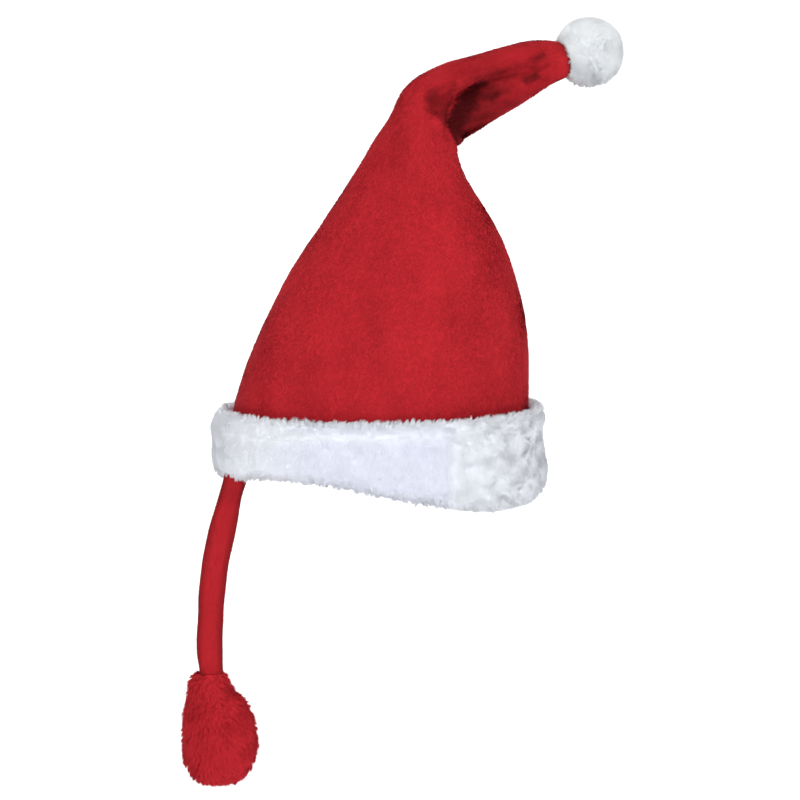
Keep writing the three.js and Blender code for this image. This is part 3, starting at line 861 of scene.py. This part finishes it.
def cuff_fur(band, name, front, count, seed):
    """One half of the cuff's fur, short and flat, but longer and curlier on the right-hand panel."""

    def outside(points, normals):
        shown = (facing_out(points, normals) > -0.3) & (from_crown(points) > 0.02)
        return shown & ((points[:, 1] < 0) == front)

    roots, normals, tones = scatter(band, count, seed, outside)
    draw = np.random.default_rng(seed + 1)
    panel = fluffy(roots)
    wild = (0.35 + 0.45 * panel)[:, None]
    astray = 0.8 * drift(roots, 0.006, seed + 2) + 0.7 * draw.normal(size=roots.shape)
    ways = np.array((0.1, 0.0, -0.8)) + wild * astray
    lean = 1.05 - 0.18 * panel + 0.09 * swells(roots, 0.005, seed + 7) + draw.normal(size=count) * 0.2
    lengths = draw.uniform(0.0022, 0.0034, count) * (1 + 0.45 * panel)
    tones = tones + draw.normal(size=count) * 0.05 + 0.06 * panel * swells(roots, 0.005, seed + 8)
    piece = fibres(
        name, roots, normals, ways, lengths, CUFF_FUR_WIDTH, np.clip(lean, 0.15, 1.35), np.clip(tones, 0, 1),
        tufts=count // 8, pull=0.2 + 0.2 * panel, contrast=0.08,
    )
    return dress(piece, fibre_look(name + "_fibre", WHITE_STOPS), "white_fur")


def cuff_tufts(band):
    """The tufts along the cuff's upper and lower edges. The upper ones poke up over the crown."""

    def edges(points, normals):
        top = (points[:, 2] > 0.042) & (normals[:, 2] > 0.25)
        low = (points[:, 2] < 0.012) & (normals[:, 2] < -0.3) & (from_crown(points) > 0.05)
        return top * 1.5 + low * 1.8

    roots, normals, tones = scatter(band, TUFT_FIBRES, 141, edges)
    draw = np.random.default_rng(142)
    top = roots[:, 2] > 0.03
    spread = 0.5 * drift(roots, 0.006, 143) + 0.3 * draw.normal(size=roots.shape)
    ways = np.where(top[:, None], (0.55, 0.0, 0.9), (0.0, 0.0, -1.0)) + spread
    lean = np.where(top, 0.5, 0.35) + draw.normal(size=len(roots)) * 0.2
    lengths = draw.uniform(0.0024, 0.0054, len(roots))
    piece = fibres(
        "cuff_tufts", roots, unit(normals + ways * 0.4), ways, lengths, TUFT_WIDTH, np.clip(lean, 0, 1.2),
        np.clip(tones + 0.2 + draw.normal(size=len(roots)) * 0.07, 0, 1), tufts=TUFT_COUNT, pull=0.65,
    )
    return dress(piece, fibre_look("cuff_tuft_fibre", WHITE_STOPS), "white_fur")


# The pompom


def pompom():
    """The ball under its wool, painted a little darker below as shade. Also gives its middle."""
    piece = welded_copy("pompom", "pompom_core", 1, smoothing=2)
    points, normals = points_of(piece), normals_of(piece)
    low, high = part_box("pompom")
    middle = np.array(((low.x + high.x) / 2, (low.y + high.y) / 2, (low.z + high.z) / 2))
    set_points(piece, points - normals * POMPOM_INSET)
    # Painted shade: darker below, and a little more so towards -X.
    down = ramp(-(points - middle)[:, 2] - 0.4 * (points - middle)[:, 0], -0.002, 0.02)
    paint(piece, 0.88 - 0.46 * down + 0.03 * swells(points, 0.01, 60))
    dress(piece, pile_look("pompom_core_wool", WOOL_STOPS), "white_wool", "pompom")
    return piece, middle


def pompom_wool(core, middle):
    """The wool, which stands up all over the ball and gathers into tufts below."""

    def outside(points, normals):
        return (((points - middle) * normals).sum(axis=1) > 0.01).astype(float)

    roots, normals, tones = scatter(core, WOOL_COUNT, 61, outside)
    draw = np.random.default_rng(62)
    ways = drift(roots, 0.008, 63) + 0.7 * draw.normal(size=roots.shape)
    low = ramp((middle - roots)[:, 2], 0.0, 0.015)
    lean = np.clip(0.4 + draw.normal(size=len(roots)) * 0.3, 0.0, 1.2)
    lengths = draw.uniform(0.0016, 0.0046, len(roots)) * (1 + 0.2 * low)
    piece = fibres(
        "pompom_wool", roots, normals, ways, lengths, WOOL_WIDTH, lean,
        np.clip(tones + draw.normal(size=len(roots)) * 0.05, 0, 1), tufts=WOOL_TUFTS, pull=0.15 + 0.5 * low,
    )
    return dress(piece, fibre_look("pompom_fibre", WOOL_STOPS), "white_wool")


# The pump bulb


def bulb():
    """The squeeze bulb under its fur, with a sunken shoulder on the tip's side."""
    piece = welded_copy("pump_bulb", "bulb_body", 2, smoothing=4)
    points, normals = points_of(piece), normals_of(piece)
    shoulder = ramp(points[:, 2], -0.146, -0.133) * ramp(points[:, 0], -0.106, -0.099)
    moves = swells(points, 0.014, 71) * 0.0004 - BULB_INSET - SHOULDER_DEPTH * shoulder
    set_points(piece, points + normals * moves[:, None])
    paint(piece, 0.8 + 0.03 * swells(points, 0.015, 72))
    dress(piece, pile_look("bulb_pile", RED_STOPS), "red_fur", "pump_bulb")
    return piece


def bulb_fur(body):
    """The bulb's shaggy fur, which hangs in locks."""
    roots, normals, tones = scatter(body, BULB_FUR_COUNT, 81, lambda p, n: (n[:, 2] < 0.95).astype(float))
    draw = np.random.default_rng(82)
    ways = np.array((0.25, 0.0, -0.9)) + 0.3 * drift(roots, 0.007, 83) + 0.25 * draw.normal(size=roots.shape)
    lean = 0.85 + 0.08 * swells(roots, 0.006, 87) + draw.normal(size=len(roots)) * 0.15
    lengths = draw.uniform(0.003, 0.0065, len(roots))
    piece = fibres(
        "bulb_fur", roots, normals, ways, lengths, BULB_FUR_WIDTH, np.clip(lean, 0.1, 1.3),
        np.clip(tones + 0.16 + draw.normal(size=len(roots)) * 0.03, 0, 1), tufts=BULB_TUFTS, pull=0.55,
    )
    return dress(piece, fibre_look("bulb_fibre", RED_STOPS), "red_fur")


camera()
sleeve, sleeve_line = hose()
studio()
backdrop()
hose_nap(sleeve)
crown_nap(crown())
band = cuff()
cuff_fur(band, "cuff_fur_front", True, CUFF_FRONT_COUNT, 101)
cuff_fur(band, "cuff_fur_back", False, CUFF_BACK_COUNT, 121)
cuff_tufts(band)
pompom_wool(*pompom())
bulb_body = bulb()
bulb_tuft = bulb_fur(bulb_body)
